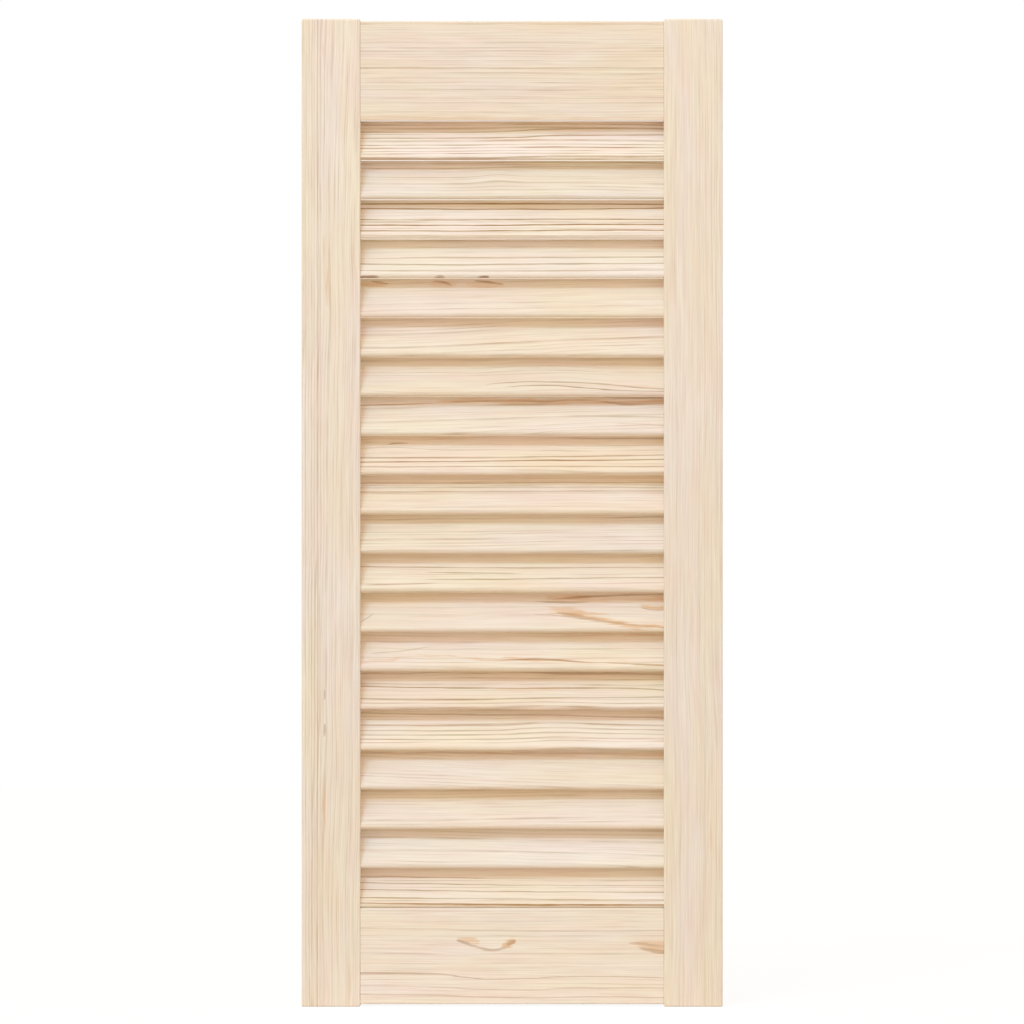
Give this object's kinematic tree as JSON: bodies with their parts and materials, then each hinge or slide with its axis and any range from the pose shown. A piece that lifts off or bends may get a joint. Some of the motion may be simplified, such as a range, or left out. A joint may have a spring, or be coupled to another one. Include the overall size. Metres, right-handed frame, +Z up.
{
  "type": "louvred cabinet door",
  "caption": "Bare pine cabinet door leaf with fixed sloping slats that let air through, framed by two stiles and two rails.",
  "frame": {"origin": "middle of the leaf's underside: midway between the outer edges and between the front and back faces, at the level of the stiles' lower ends", "axes": "+Z up along the stiles, +X to the right as seen from the front, and the front face looks to -Y"},
  "size_m": [0.294, 0.021, 0.69],
  "materials": {
    "pine_stiles": "sanded, bare",
    "pine_rails": "sanded, bare",
    "pine_slats": "sanded, bare",
    "beech_dowels": "fluted, glued in"
  },
  "bodies": {
    "root": {"left_stile": "pine_stiles", "right_stile": "pine_stiles", "top_rail": "pine_rails", "bottom_rail": "pine_rails", "slat_01": "pine_slats", "slat_02": "pine_slats", "slat_03": "pine_slats", "slat_04": "pine_slats", "slat_05": "pine_slats", "slat_06": "pine_slats", "slat_07": "pine_slats", "slat_08": "pine_slats", "slat_09": "pine_slats", "slat_10": "pine_slats", "slat_11": "pine_slats", "slat_12": "pine_slats", "slat_13": "pine_slats", "slat_14": "pine_slats", "slat_15": "pine_slats", "slat_16": "pine_slats", "slat_17": "pine_slats", "slat_18": "pine_slats", "slat_19": "pine_slats", "slat_20": "pine_slats", "dowels_top_left": "beech_dowels", "dowels_top_right": "beech_dowels", "dowels_bottom_left": "beech_dowels", "dowels_bottom_right": "beech_dowels"}
  },
  "joints": []
}
